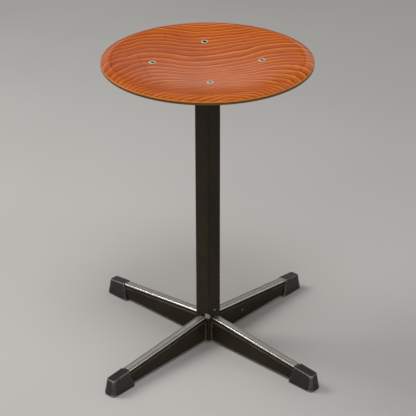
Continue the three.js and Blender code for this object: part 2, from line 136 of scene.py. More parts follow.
class Look(Nodes):
    """A procedural material."""

    def __init__(self, name):
        self.material = bpy.data.materials.new(name)
        self.material.use_nodes = True
        super().__init__(self.material.node_tree)
        self.tree.nodes.clear()
        self.shader = self.node("ShaderNodeBsdfPrincipled", {})
        self.node("ShaderNodeOutputMaterial", {0: self.shader.outputs[0]})
        self.place = self.node("ShaderNodeTexCoord", {}).outputs["Object"]

    def set(self, **inputs):
        """Sets or links the shader's sockets. An underscore in a name stands for a space."""
        for key, value in inputs.items():
            self.feed(self.shader.inputs[key.replace("_", " ")], value)

    def math(self, operation, *values, clamp=False):
        inputs = dict(enumerate(values))
        return self.node("ShaderNodeMath", inputs, operation=operation, use_clamp=clamp).outputs[0]

    def times(self, a, b):
        return self.math("MULTIPLY", a, b)

    def minus(self, a, b):
        return self.math("SUBTRACT", a, b)

    def times_plus(self, a, b, c):
        return self.math("MULTIPLY_ADD", a, b, c)

    def size_of(self, a):
        return self.math("ABSOLUTE", a)

    def scaled(self, vector, x, y, z):
        return self.vector_math("MULTIPLY", vector, (x, y, z))

    def split(self, vector):
        return self.node("ShaderNodeSeparateXYZ", {0: vector}).outputs

    def joined(self, x, y, z):
        return self.node("ShaderNodeCombineXYZ", {0: x, 1: y, 2: z}).outputs[0]

    def noise(self, vector, scale, detail=3, roughness=0.5):
        inputs = {"Vector": vector, "Scale": scale, "Detail": detail, "Roughness": roughness}
        return self.node("ShaderNodeTexNoise", inputs).outputs["Fac"]

    def curve(self, value, points):
        """A smooth curve through (x, y) points between 0 and 1."""
        made = self.node("ShaderNodeFloatCurve", {1: value})
        line = made.mapping.curves[0]
        line.points[0].location, line.points[1].location = points[0], points[-1]
        for x, y in points[1:-1]:
            line.points.new(x, y)
        made.mapping.update()
        return made.outputs[0]

    def rise(self, value, start, end):
        """A straight line from 0 at start to 1 at end, level beyond them. start may be the greater."""
        return self.math("DIVIDE", self.minus(value, start), end - start, clamp=True)

    def mix(self, share, a, b):
        """a where share is 0 and b where it is 1. Each is a socket or (r, g, b)."""
        a, b = ((*value, 1) if isinstance(value, tuple) else value for value in (a, b))
        return self.node("ShaderNodeMix", {0: share, 6: a, 7: b}, data_type="RGBA").outputs[2]

    def bump(self, height, distance, strength):
        """Bumps the surface by height, which is worth distance metres."""
        inputs = {"Height": height, "Distance": distance, "Strength": strength}
        self.set(Normal=self.node("ShaderNodeBump", inputs).outputs[0])

    def attribute(self, name):
        return self.node("ShaderNodeAttribute", {}, attribute_name=name).outputs["Fac"]

    def edge_highlight_and_wear_mask(self, start, end, cloud, least):
        """1 on edges, in patches that follow cloud, and 0 on flat places: where edges get a painted
        highlight, and rubbed paint in the enamel.
        """
        edge_bend = self.rise(self.attribute("edge_bend"), start, end)
        return self.times(edge_bend, self.ramp(cloud, (0.3, least), (0.6, 1.0)))

    def near(self, centre, radius, soft):
        """1 within radius of a point and 0 beyond radius + soft, with a ragged edge. All in metres."""
        away = self.vector_math("DISTANCE", self.place, centre, 1)
        away = self.times_plus(self.noise(self.place, 400, 3), radius, away)
        beyond = self.math("DIVIDE", self.minus(away, radius * 1.5), soft)
        return self.math("SUBTRACT", 1, beyond, clamp=True)


# ---- Materials ----

RING_COUNT = 35  # growth rings in the 400 mm across the grain that the spacing curve covers
BEND_STATIONS = (-170, -130, -85, -20, 50, 110, 170)  # in millimetres, along U
BEND_UNIT = 170  # millimetres of bend for one unit of the curve, which is level at BEND_LEVEL
BEND_LEVEL = 0.7


def grain_lean(look, u, *bends):
    """How far the grain lines lie behind a straight line, in metres. bends are at the stations, in mm."""
    width = 2 * BEND_STATIONS[-1]
    points = [(0.5 + at / width, BEND_LEVEL + bend / BEND_UNIT) for at, bend in zip(BEND_STATIONS, bends)]
    curve = look.curve(look.times_plus(u, 1 / (width * MM), 0.5), points)
    return look.times(look.minus(curve, BEND_LEVEL), BEND_UNIT * MM)


def grain_phase(look):
    """The growth ring that a place on the seat lies in, its distance across the grain, and U and V."""
    turn = {"Vector": look.place, "Angle": -CAMERA_AZIMUTH}
    turned = look.node("ShaderNodeVectorRotate", turn, rotation_type="Z_AXIS").outputs[0]
    u, v, _ = look.split(turned)
    lean = grain_lean(look, u, -75, -25, 0, -12, 5, 32, 20)
    back = grain_lean(look, u, -60, -25, -3, -10, 0, 2, -30)
    front = grain_lean(look, u, -110, -65, -25, 0, 20, 0, -40)
    for share, other in ((look.rise(v, 0.06, 0.13), back), (look.rise(v, -0.02, -0.1), front)):
        lean = look.times_plus(share, look.minus(other, lean), lean)
    wander = look.minus(look.noise(look.scaled(turned, 9, 16, 1), 1, 2), 0.5)
    ripple = look.minus(look.noise(look.scaled(turned, 26, 46, 1), 1, 2), 0.5)
    across = look.minus(lean, v)
    across = look.times_plus(wander, 0.02, across)
    across = look.times_plus(ripple, 0.008, across)
    spacing = ((0, 0), (0.35, 0.334), (0.55, 0.46), (1, 0.974))
    rings = look.times(look.curve(look.times_plus(across, 2.5, 0.5), spacing), RING_COUNT)
    return rings, across, turned


def hairline(look, turned, start, end, width):
    """1 on a thin crack between two places given as U and V in metres, and 0 beside it."""
    start, end = Vector((*start, 0)), Vector((*end, 0))
    along = (end - start).normalized()
    beside = Vector((-along.y, along.x, 0))
    from_start = look.vector_math("SUBTRACT", turned, start)
    ahead, aside = (look.vector_math("DOT_PRODUCT", from_start, axis, 1) for axis in (along, beside))
    wobble = look.times_plus(look.noise(look.place, 60, 2), 0.008, -0.004)
    off = look.size_of(look.math("ADD", aside, wobble))
    half = (end - start).length / 2
    fade = look.rise(look.size_of(look.minus(ahead, half)), half, half - 0.01)
    return look.times(look.rise(off, width, width / 2), fade)


def seat_veneer():
    look = Look("seat_veneer")
    rings, across, turned = grain_phase(look)
    u = look.split(turned)[0]
    along = look.joined(look.times(u, 5), look.times(across, 60), 0)
    uneven = look.noise(along, 2.2, 4, 0.6)
    part = look.math("FRACT", rings)
    early = ((0, 0.9), (0.06, 1), (0.17, 0.62), (0.3, 0.42))
    late = ((0.6, 0.36), (0.84, 0.02), (0.93, 0.1), (1, 0.9))
    ring = look.ramp(part, *early, *late)
    faint = look.noise(look.joined(0, rings, 3.7), 1.1, 2)
    tone = look.mix(look.ramp(faint, (0.35, 0.2), (0.6, 1)), (0.42, 0.42, 0.42), ring)
    fine_phase = look.math("FRACT", look.times_plus(uneven, 0.9, look.times(rings, 3.0)))
    fine = look.ramp(fine_phase, (0, 0.7), (0.5, 0.45), (0.9, 0.2), (1, 0.7))
    tone = look.mix(0.32, tone, fine)
    fibre = look.noise(look.scaled(along, 6, 14, 1), 1.0, 4, 0.7)
    tone = look.mix(0.26, tone, look.ramp(fibre, (0.25, 0.1), (0.75, 0.9)))
    dark, middle, light = (0.17, 0.012, 0.001), (0.47, 0.070, 0.002), (0.94, 0.36, 0.014)
    colour = look.ramp(tone, (0.14, dark), (0.42, middle), (0.8, light))
    blotch = look.noise(look.scaled(look.place, 14, 14, 14), 1, 3)
    blotch = look.times_plus(u, -1.2, blotch)
    colour = look.mix(look.ramp(blotch, (0.35, 0.0), (0.75, 0.4)), colour, (0.30, 0.035, 0.006))
    pores = look.noise(look.scaled(along, 30, 26, 1), 1.0, 2, 0.5)
    pore = look.ramp(pores, (0.66, 0), (0.74, 0.5))
    colour = look.mix(pore, colour, (0.10, 0.014, 0.004))
    cracks = look.math(
        "MAXIMUM",
        hairline(look, turned, (-0.115, 0.034), (-0.086, -0.080), 0.0008),
        hairline(look, turned, (-0.0715, 0.122), (-0.068, 0.084), 0.0007),
    )
    colour = look.mix(look.times(cracks, 0.5), colour, (0.07, 0.012, 0.004))
    colour = look.mix(look.near(SEAT_FLECK, 0.0009, 0.0006), colour, (0.75, 0.66, 0.55))
    look.set(Base_Color=colour)
    look.set(Roughness=look.ramp(look.noise(look.place, 30, 4, 0.6), (0.3, 0.30), (0.7, 0.42)))
    look.set(Specular_IOR_Level=0.0, Coat_Weight=0.75, Coat_Roughness=0.12, Coat_IOR=1.5)
    waves = look.minus(look.times_plus(fibre, 0.35, tone), cracks)
    look.bump(waves, 0.00008, 0.5)
    return look.material


def ply_edge():
    look = Look("ply_edge")
    height = look.split(look.place)[2]
    grain = look.noise(look.scaled(look.place, 60, 60, 300), 1, 4, 0.6)
    level = look.times_plus(look.minus(grain, 0.5), 0.0006, height)
    share = look.math("DIVIDE", look.minus(level, EDGE_LOW * MM), (EDGE_HIGH - EDGE_LOW) * MM)
    # The pale band at the top of the edge is a painted highlight on its rounded top; the brown and tan
    # bands below it are the plies.
    brown, tan, pale_highlight = (0.15, 0.038, 0.006), (0.27, 0.088, 0.015), (0.68, 0.28, 0.05)
    lower = ((0, brown), (0.24, brown), (0.3, tan), (0.48, tan))
    plies_and_highlight = look.ramp(share, *lower, (0.54, brown), (0.68, brown), (0.74, pale_highlight), (1, pale_highlight))
    colour = look.mix(look.ramp(grain, (0.3, 0), (0.8, 0.55)), plies_and_highlight, brown)
    look.set(Base_Color=colour, Roughness=0.5, Specular_IOR_Level=0.2)
    look.bump(look.math("ADD", grain, share), 0.0002, 0.5)
    return look.material


def underside_veneer():
    look = Look("underside_veneer")
    rings, _, turned = grain_phase(look)
    grain = look.noise(look.joined(look.times(rings, 2.2), look.split(turned)[0], 0), 1.2, 5, 0.65)
    dark, middle, light = (0.17, 0.06, 0.02), (0.30, 0.12, 0.04), (0.42, 0.19, 0.07)
    colour = look.ramp(grain, (0.25, dark), (0.55, middle), (0.8, light))
    look.set(Base_Color=colour, Roughness=0.5, Coat_Weight=0.2, Coat_Roughness=0.35)
    look.bump(grain, 0.0001, 0.5)
    return look.material


BARE_STEEL = (0.52, 0.50, 0.46)
RUST = (0.16, 0.055, 0.02)


def black_enamel(name, chips=(), rust=()):
    """Satin black paint with a little dust, a paler colour on its edges that is partly painted highlight
    and partly rubbed paint, and with chips down to the steel.
    """
    look = Look(name)
    cloud = look.noise(look.place, 26, 4, 0.6)
    colour = look.ramp(cloud, (0.3, (0.0190, 0.0140, 0.0080)), (0.7, (0.0300, 0.0225, 0.0135)))
    dust = look.noise(look.place, 800, 2, 0.5)
    colour = look.mix(look.ramp(dust, (0.70, 0), (0.80, 0.25)), colour, (0.05, 0.04, 0.03))
    # The paler colour on the edges is partly a painted highlight and partly rubbed paint; the bare specks
    # there are wear.
    edge_highlight_and_wear = look.edge_highlight_and_wear_mask(0.55, 0.9, cloud, 0.2)
    colour = look.mix(look.times(edge_highlight_and_wear, 0.5), colour, (0.13, 0.12, 0.10))
    specks = look.ramp(look.noise(look.place, 150, 3, 0.7), (0.74, 0), (0.76, 1))
    bare = look.times(specks, edge_highlight_and_wear)
    for centre, radius in chips:
        bare = look.math("MAXIMUM", bare, look.near(centre, radius, radius * 0.4))
    colour = look.mix(bare, colour, BARE_STEEL)
    for centre, radius in rust:
        colour = look.mix(look.near(centre, radius, radius), colour, RUST)
    scuffs = look.noise(look.scaled(look.place, 40, 40, 260), 1, 3, 0.6)
    rough = look.ramp(scuffs, (0.3, 0.2), (0.75, 0.33))
    peel = look.noise(look.place, 420, 2, 0.5)
    look.set(Base_Color=colour, Roughness=rough, Metallic=bare)
    # The warm specular tint is a painted reflection: it gives the paint's reflections a brown cast that
    # the pale floor does not.
    look.set(Specular_IOR_Level=0.12, Specular_Tint=(1, 0.84, 0.62, 1))
    look.bump(look.minus(peel, bare), 0.00006, 0.3)
    return look.material


def bright_trim():
    """Extruded aluminium: polished shoulders, a duller ribbed middle, drawn along its length."""
    look = Look("bright_trim")
    lengthwise = look.attribute("lengthwise")
    sideways = look.attribute("sideways")
    shoulder = TRIM_HIGH.y - TRIM_SHOULDER
    polished = look.math("GREATER_THAN", look.size_of(sideways), (shoulder - 0.2) * MM)
    across = look.times(sideways, 1200)
    lines = look.noise(look.joined(look.times(lengthwise, 6), across, 0), 1, 3, 0.7)
    blots = look.joined(look.times(lengthwise, 60), look.times(sideways, 200), 0)
    stain = look.noise(blots, 1, 4)
    colour = look.ramp(lines, (0.3, (0.60, 0.59, 0.54)), (0.7, (0.82, 0.81, 0.75)))
    colour = look.mix(look.ramp(stain, (0.52, 0), (0.75, 0.4)), colour, (0.30, 0.28, 0.23))
    pitch = 2 * (shoulder - TRIM_PLAIN) / TRIM_RIBS * MM
    # The ribs' grooves are painted dark: painted shade in the grooves, with some dirt.
    groove = look.math("PINGPONG", look.math("ADD", sideways, 10.5 * pitch), pitch / 2)
    groove_shade_and_dirt = look.ramp(look.math("DIVIDE", groove, pitch / 2), (0.62, 0.0), (0.95, 0.75))
    colour = look.mix(groove_shade_and_dirt, colour, (0.13, 0.12, 0.10))
    colour = look.mix(polished, colour, (0.82, 0.80, 0.77))
    # The groove inside each shoulder is painted nearly black, as painted shade in it.
    beside = look.minus(look.size_of(sideways), (shoulder - EDGE_GROOVE) * MM)
    edge_groove_shade = look.math("LESS_THAN", look.size_of(beside), 0.0005)
    colour = look.mix(edge_groove_shade, colour, (0.05, 0.045, 0.04))
    rough = look.ramp(lines, (0.25, 0.38), (0.75, 0.28))
    rough = look.times_plus(polished, -0.07, rough)
    look.set(Base_Color=colour, Metallic=1.0, Roughness=rough)
    look.bump(stain, 0.00002, 0.3)
    return look.material


def moulded_rubber():
    look = Look("moulded_rubber")
    cloud = look.noise(look.place, 70, 4, 0.65)
    grime = look.noise(look.place, 700, 3, 0.7)
    colour = look.ramp(cloud, (0.3, (0.0022, 0.0021, 0.0020)), (0.75, (0.0135, 0.0128, 0.0115)))
    colour = look.mix(look.ramp(grime, (0.62, 0), (0.74, 0.5)), colour, (0.055, 0.050, 0.043))
    # The paler colour on the edges is a painted highlight, with some rubbing.
    edge_highlight_and_wear = look.edge_highlight_and_wear_mask(0.56, 0.95, cloud, 0.25)
    colour = look.mix(look.times(edge_highlight_and_wear, 0.6), colour, (0.38, 0.37, 0.34))
    look.set(Base_Color=colour, Roughness=look.ramp(cloud, (0.3, 0.13), (0.7, 0.34)))
    pits = look.times_plus(grime, 0.6, cloud)
    look.bump(pits, 0.0004, 0.45)
    return look.material


def dark_plastic():
    look = Look("dark_plastic")
    cloud = look.noise(look.place, 200, 3)
    look.set(Base_Color=look.ramp(cloud, (0.3, (0.006, 0.006, 0.006)), (0.7, (0.014, 0.013, 0.012))))
    look.set(Roughness=0.55)
    look.bump(cloud, 0.00008, 0.4)
    return look.material


def metal(name, dark, light, rough, scale=(300, 300, 300), metallic=1.0):
    """Bare or plated metal. scale is how fine its tool marks are along X, Y and Z, per metre."""
    look = Look(name)
    marks = look.noise(look.scaled(look.place, *scale), 1, 4, 0.65)
    stain = look.noise(look.place, 90, 3, 0.6)
    colour = look.ramp(marks, (0.3, dark), (0.7, light))
    colour = look.mix(look.ramp(stain, (0.5, 0), (0.75, 0.45)), colour, tuple(0.5 * c for c in dark))
    # Where a mesh marks it, as inside the rivets' bores, the colour is painted nearly black as painted
    # shade.
    colour = look.mix(look.attribute("bore_shade"), colour, (0.02, 0.018, 0.014))
    roughness = look.ramp(marks, (0.3, rough + 0.12), (0.7, rough))
    look.set(Base_Color=colour, Metallic=metallic, Roughness=roughness)
    look.bump(marks, 0.00005, 0.4)
    return look.material


def nylon():
    look = Look("nylon")
    cloud = look.noise(look.place, 60, 3)
    look.set(Base_Color=look.ramp(cloud, (0.3, (0.52, 0.47, 0.37)), (0.7, (0.66, 0.61, 0.50))))
    look.set(Roughness=0.45, Subsurface_Weight=0.1)
    look.bump(look.noise(look.place, 700, 2), 0.00005, 0.3)
    return look.material


def pale_floor():
    look = Look("pale_floor")
    cloud = look.noise(look.place, 1.5, 3)
    look.set(Base_Color=look.ramp(cloud, (0.3, (0.53, 0.52, 0.505)), (0.7, (0.57, 0.56, 0.545))))
    look.set(Roughness=0.75)
    look.bump(look.noise(look.place, 500, 2), 0.0001, 0.2)
    return look.material


# ---- Mesh helpers ----


def arc(cx, cy, radius, start, end, steps):
    """Points on an arc. Angles are in degrees."""
    angles = [math.radians(start + (end - start) * i / steps) for i in range(steps + 1)]
    return [(cx + radius * math.cos(a), cy + radius * math.sin(a)) for a in angles]


def rounded_outline(x0, y0, x1, y1, radii, steps=5, support=0.5):
    """An anticlockwise rectangle with round corners, and a point just beyond each end of each corner."""
    corners = [(x0, y0, 1, 1, 180), (x1, y0, -1, 1, 270), (x1, y1, -1, -1, 0), (x0, y1, 1, -1, 90)]

    def beside(point, direction):
        a = math.radians(direction)
        return (point[0] + support * math.cos(a), point[1] + support * math.sin(a))

    points = []
    for (x, y, dx, dy, start), r in zip(corners, radii):
        turn = arc(x + dx * r, y + dy * r, r, start, start + 90, steps)
        points += [beside(turn[0], start - 90), *turn, beside(turn[-1], start + 180)]
    return points


def loft(sections, close_rings=False, fan=False):
    """Vertices and faces through sections of equal length.

    The last section joins the first, or each end has one face, or a fan of triangles if it is convex.
    """
    count, rings = len(sections[0]), len(sections)
    verts = [point for section in sections for point in section]
    faces = []
    for s in range(rings if close_rings else rings - 1):
        for i in range(count):
            j = (i + 1) % count
            a, b = s * count, ((s + 1) % rings) * count
            faces.append((a + i, a + j, b + j, b + i))
    if fan:
        for first, section in ((0, sections[0]), ((rings - 1) * count, sections[-1])):
            middle = len(verts)
            verts.append(tuple(sum(axis) / count for axis in zip(*section)))
            faces += [(first + i, first + (i + 1) % count, middle) for i in range(count)]
    elif not close_rings:
        faces.append(tuple(reversed(range(count))))
        faces.append(tuple(range((rings - 1) * count, rings * count)))
    return verts, faces


def revolve(profile, segments=64):
    """A body of revolution about Z. Its (radius, height) points end on the axis or where they start."""
    closed = profile[0] == profile[-1]
    points = profile[:-1] if closed else profile
    verts, rings = [], []
    for r, z in points:
        count = segments if r > 1e-6 else 1
        rings.append(list(range(len(verts), len(verts) + count)))
        for i in range(count):
            angle = 2 * math.pi * i / segments
            verts.append((r * math.cos(angle), r * math.sin(angle), z))
    following = rings[1:] + rings[:1] if closed else rings[1:]
    faces = []
    for low, high in zip(rings, following):
        for i in range(segments):
            j = (i + 1) % segments
            corners = [low[i % len(low)], low[j % len(low)], high[j % len(high)], high[i % len(high)]]
            face = list(dict.fromkeys(corners))
            if len(face) > 2:
                faces.append(tuple(face))
    return verts, faces


@contextmanager
def edited(mesh):
    bm = bmesh.new()
    bm.from_mesh(mesh)
    yield bm
    bm.to_mesh(mesh)
    bm.free()


def split_many_sided(bm):
    bmesh.ops.triangulate(bm, faces=[face for face in bm.faces if len(face.verts) > 4])


def smooth(mesh, split=False):
    """Cleans a mesh, turns its faces outwards and shades it smooth, apart from its sharp edges."""
    with edited(mesh) as bm:
        bmesh.ops.remove_doubles(bm, verts=bm.verts, dist=WELD_DISTANCE)
        bmesh.ops.dissolve_degenerate(bm, edges=bm.edges, dist=WELD_DISTANCE)
        if split:
            split_many_sided(bm)
        # Two faces with the same corners are a flap with nothing inside, and both go.
        corners = [frozenset(face.verts) for face in bm.faces]
        tally = Counter(corners)
        flaps = [face for face, own in zip(bm.faces, corners) if tally[own] > 1]
        bmesh.ops.delete(bm, geom=flaps, context="FACES")
        bmesh.ops.recalc_face_normals(bm, faces=bm.faces)
        if bm.calc_volume(signed=True) < 0:
            bmesh.ops.reverse_faces(bm, faces=bm.faces)
        for face in bm.faces:
            face.smooth = True
    mesh.set_sharp_from_angle(angle=SHARP_ANGLE)


def refine(mesh, length):
    """Splits long edges down to about length, so that the paler colour painted on edges, a painted
    highlight and rubbed paint, stays near them.
    """
    with edited(mesh) as bm:
        split_many_sided(bm)
        for _ in range(6):
            long_edges = [edge for edge in bm.edges if edge.calc_length() > length * MM]
            if long_edges:
                bmesh.ops.subdivide_edges(bm, edges=long_edges, cuts=1, use_grid_fill=True)
        bmesh.ops.triangulate(bm, faces=bm.faces, quad_method="BEAUTY", ngon_method="BEAUTY")
    smooth(mesh)


def mark_edge_bend(mesh):
    """Stores how sharply the surface bends at each vertex, from 0 on a flat to 1 on an edge."""
    with edited(mesh) as bm:
        layer = bm.verts.layers.float.new("edge_bend")
        for vertex in bm.verts:
            angles = [edge.calc_face_angle(0) for edge in vertex.link_edges]
            vertex[layer] = min(1, sum(angles) / FULL_BEND_ANGLE)


def make_object(name, shape, matrix=Matrix.Identity(4)):
    """A mesh object from vertices in millimetres, moved by matrix, which is also in millimetres."""
    verts, faces = shape
    mesh = bpy.data.meshes.new(name)
    mesh.from_pydata([(matrix @ Vector(v)) * MM for v in verts], [], faces)
    smooth(mesh)
    return in_scene(name, mesh)


def combine(target, tool, operation="DIFFERENCE"):
    """Cuts, joins or intersects target with tool, and removes tool."""
    modifier = target.modifiers.new("combine", "BOOLEAN")
    modifier.operation = operation
    modifier.solver = "EXACT"
    modifier.object = tool
    bpy.context.view_layer.update()
    graph = bpy.context.evaluated_depsgraph_get()
    result = bpy.data.meshes.new_from_object(target.evaluated_get(graph))
    target.modifiers.clear()
    target.data = result
    bpy.data.objects.remove(tool)
    smooth(target.data, split=True)
    return target


def make_piece(made, look, body, slot, *nodes):
    """Gives an object its material and its body, and hides the CAD nodes that it stands for."""
    mark_edge_bend(made.data)
    if not made.data.materials:
        made.data.materials.append(look)
    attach(made, body)
    if nodes:
        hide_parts(*nodes)


def prism(outline, low, high, ease=0.0):
    """An upright prism whose two end edges are eased by that much."""
    cx = sum(p[0] for p in outline) / len(outline)
    cy = sum(p[1] for p in outline) / len(outline)
    reach = max(abs(p[0] - cx) for p in outline)

    def ring(z, inset):
        k = 1 - inset / reach
        return [(cx + (x - cx) * k, cy + (y - cy) * k, z) for x, y in outline]

    if not ease:
        return loft([ring(low, 0), ring(high, 0)], fan=True)
    turns = [(0, 1), (0.13, 0.5), (0.5, 0.13), (1, 0)]
    bottom = [ring(low + ease * up, ease * inset) for up, inset in turns]
    top = [ring(high - ease * up, ease * inset) for up, inset in reversed(turns)]
    return loft(bottom + top, fan=True)


def square(half, corner, steps=6):
    return rounded_outline(-half, -half, half, half, [corner] * 4, steps)


def turned_about_z(angle):
    return Matrix.Rotation(angle, 4, "Z")


def four_legs():
    """Each leg's number, and the turn that takes the one along +X to it."""
    return [(k + 1, turned_about_z(k * QUARTER)) for k in range(4)]


def rod(radius, low, high, segments=48, matrix=Matrix.Identity(4)):
    """A round tool about Z, moved by matrix."""
    profile = [(0, low), (radius, low), (radius, high), (0, high)]
    return make_object("tool", revolve(profile, segments), matrix)


def rod_along_x(radius, x0, x1, z):
    return rod(radius, x0, x1, 32, Matrix.Translation((0, 0, z)) @ Matrix.Rotation(QUARTER, 4, "Y"))


# ---- Sizes from the frame ----

COLUMN_LOW, COLUMN_HIGH = box_mm("column_tube")
LEG_LOW, LEG_HIGH = box_mm("leg_1")
RAIL_LOW, RAIL_HIGH = box_mm("trim_rail_1")
TRIM_LOW, TRIM_HIGH = box_mm("trim_strip_1")
FOOT_LOW, FOOT_HIGH = box_mm("foot_1")
SEAT_HIGH = box_mm("seat_shell")[1]
NUT_LOW, NUT_HIGH = box_mm("spindle_nut")
WASHER_LOW, WASHER_HIGH = box_mm("thrust_washer")
BOSS_LOW, BOSS_HIGH = box_mm("seat_boss")
SPINDLE_LOW, SPINDLE_HIGH = box_mm("spindle")
GUIDE_LOW, GUIDE_HIGH = box_mm("guide_block")
SPIDER_HIGH = box_mm("seat_spider")[1]
PIN_Z, NUT_SCREW_Z, PLUG_SCREW_Z = (
    sum(corner.z for corner in box_mm(node)) / 2 for node in ("boss_pin", "nut_screw_1", "plug_screw")
)


def highest_at(node, x):
    """The greatest height of a node within 1 mm of x."""
    return max(v.co.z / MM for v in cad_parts[node].data.vertices if abs(v.co.x / MM - x) < 1)


def line_along_leg(node):
    """A function that gives the height of a strip's or leg's top at x."""
    low, high = box_mm(node)
    start, end = highest_at(node, low.x), highest_at(node, high.x)
    return lambda x: start + (end - start) * (x - low.x) / (high.x - low.x)


trim_top = line_along_leg("trim_strip_1")
rail_top = line_along_leg("trim_rail_1")
leg_top = line_along_leg("leg_1")

WALL = 2.0  # of the column and the legs
GAP = 0.3  # between pieces that touch on the real stool
TRIM_DEPTH = 2.8
TRIM_SHOULDER = 1.7
TRIM_PLAIN = 1.5  # between each shoulder and the ribs
TRIM_RIBS = 6
EDGE_GROOVE = 0.7  # inside each shoulder
RAIL_DEPTH = 3.4
FOOT_COVER = 0.4  # of rubber over the trim's top
FOOT_PLAY = 0.25  # between the leg and the foot's socket
WELD_SIZE = 2.1
WELD_RIPPLE = 2.3  # from one ripple of a weld to the next
SEAT_RADIUS = SEAT_HIGH.x
SEAT_THICKNESS = 8.0
DISH_CURVE = 0.0007  # the dish's slope grows by this much per millimetre from the middle
DISH_RADIUS = 152.0  # where the dish ends and the rim starts to curl down
RIM_SLOPE = -0.42  # of the top at its outer edge
EDGE_THICKNESS = 6.0
SEAT_TURN = math.radians(45.6)
RIVET_RADIUS = 87.0  # from the middle of the seat
RIVET_HOLE = 4.3
THREAD_MAJOR, THREAD_MINOR, LEAD = 10.0, 7.8, 8.0
THREAD_CREST, THREAD_FLANK = 0.34, 0.13  # shares of the lead


def seat_rise_at(r):
    """The height of the seat's top above its middle: a dish, and a rim that curls down."""
    dish = min(r, DISH_RADIUS)
    beyond = r - dish
    start = DISH_CURVE * DISH_RADIUS
    bend = (RIM_SLOPE - start) / (SEAT_RADIUS - DISH_RADIUS)
    return DISH_CURVE * dish**2 / 2 + start * beyond + bend * beyond**2 / 2


RIDGE_RISE = max(seat_rise_at(DISH_RADIUS + t / 10) for t in range(180))


def seat_top_at(r):
    return SEAT_HIGH.z - RIDGE_RISE + seat_rise_at(r)


EDGE_HIGH = seat_top_at(SEAT_RADIUS)
EDGE_LOW = EDGE_HIGH - EDGE_THICKNESS

# ---- Base ----


def add_column():
    half = COLUMN_HIGH.x
    outer = square(half, 2.0, 8)
    inner = square(half - WALL, 0.8, 8)
    low, high, ease = COLUMN_LOW.z, COLUMN_HIGH.z, 0.4

    def ring(outline, z, k=1.0):
        return [(x * k, y * k, z) for x, y in outline]

    # The many rings keep the paler colour of the eased ends, partly painted highlight and partly rubbed
    # paint, near them.
    eased = 1 - ease / half
    first, last, steps = low + ease + 0.8, high - ease - 0.8, 80
    levels = [low + ease, *(first + (last - first) * i / steps for i in range(steps + 1)), high - ease]
    rings = [ring(outer, low, eased), *(ring(outer, z) for z in levels), ring(outer, high, eased)]
    shape = loft([*rings, ring(inner, high), ring(inner, low)], close_rings=True)
    column = make_object("column", shape)
    combine(column, rod_along_x(2.7, -20, 20, NUT_SCREW_Z))
    combine(column, rod_along_x(1.3, 5, 20, PLUG_SCREW_Z))
    make_piece(column, LOOKS["column"], "base", "frame_paint", "column_tube")


def leg_shell_section(x):
    """The leg's section, an inverted channel, at x."""
    half, low, top = LEG_HIGH.y, LEG_LOW.z, leg_top(x)
    corner, lip, inner = 2.4, 0.5, 0.6
    outer = rounded_outline(-half, low, half, top, [lip, lip, corner, corner], 5, 0.4)
    per_corner = len(outer) // 4
    # The outline is opened up between its two bottom corners, to follow the channel's inside.
    outline = outer[per_corner + 2 :] + outer[: per_corner - 2]
    ihalf, itop = half - WALL, top - WALL
    outline += [(-ihalf - lip, low), (-ihalf, low + lip)]
    outline += reversed(arc(-ihalf + inner, itop - inner, inner, 90, 180, 3))
    outline += reversed(arc(ihalf - inner, itop - inner, inner, 0, 90, 3))
    outline += [(ihalf, low + lip), (ihalf + lip, low)]
    return [(x, y, z) for y, z in outline]


def add_legs():
    first, last = LEG_LOW.x + 1, LEG_HIGH.x - 1
    xs = [LEG_LOW.x, *(first + (last - first) * i / 10 for i in range(11)), LEG_HIGH.x]
    shape = loft([leg_shell_section(x) for x in xs])
    for n, turn in four_legs():
        leg = make_object(f"leg_{n}_channel", shape, turn)
        make_piece(leg, LOOKS["legs"], "base", "frame_paint", f"leg_{n}")


def add_rails():
    half = RAIL_HIGH.y

    def section(x):
        top = rail_top(x)
        outline = rounded_outline(-half, top - RAIL_DEPTH, half, top, [0.5] * 4, 3, 0.3)
        return [(x, y, z) for y, z in outline]

    shape = loft([section(RAIL_LOW.x), section(RAIL_HIGH.x)])
    for n, turn in four_legs():
        rail = make_object(f"trim_rail_{n}_strip", shape, turn)
        make_piece(rail, LOOKS["plastic"], "base", "black_plastic", f"trim_rail_{n}")


def trim_surface(y, half):
    """How far the top lies below its crown at y: round shoulders, a groove inside each, and ribs."""
    edge = half - abs(y)
    drop = 0.0
    if edge < TRIM_SHOULDER:
        drop += TRIM_SHOULDER - math.sqrt(max(0.0, TRIM_SHOULDER**2 - (TRIM_SHOULDER - edge) ** 2))
    drop += 0.35 * math.exp(-(((edge - TRIM_SHOULDER - EDGE_GROOVE) / 0.35) ** 2))
    ribbed = half - TRIM_SHOULDER - TRIM_PLAIN
    if abs(y) < ribbed:
        pitch = 2 * ribbed / TRIM_RIBS
        from_groove = abs((y + ribbed + pitch / 2) % pitch - pitch / 2)
        drop += 0.07 * math.exp(-((from_groove / 0.2) ** 2))
    return drop


def add_trims():
    half, ease, steps = TRIM_HIGH.y, 0.4, 160
    across = [half * math.sin(QUARTER * (2 * i / steps - 1)) for i in range(steps, -1, -1)]
    outline = [(y, -trim_surface(y, half)) for y in across]
    outline += [(-half, -TRIM_DEPTH + ease), (-half + ease, -TRIM_DEPTH)]
    outline += [(half - ease, -TRIM_DEPTH), (half, -TRIM_DEPTH + ease)]
    shape = loft([[(x, y, trim_top(x) + z) for y, z in outline] for x in (TRIM_LOW.x, TRIM_HIGH.x)])
    for n, turn in four_legs():
        trim = make_object(f"trim_strip_{n}_extrusion", shape, turn)
        back = turned_about_z(-(n - 1) * QUARTER)
        for axis, name in enumerate(("lengthwise", "sideways")):
            layer = trim.data.attributes.new(name, "FLOAT", "POINT")
            for vertex in trim.data.vertices:
                layer.data[vertex.index].value = (back @ vertex.co)[axis]
        make_piece(trim, LOOKS["trim"], "base", "trim_aluminium", f"trim_strip_{n}")


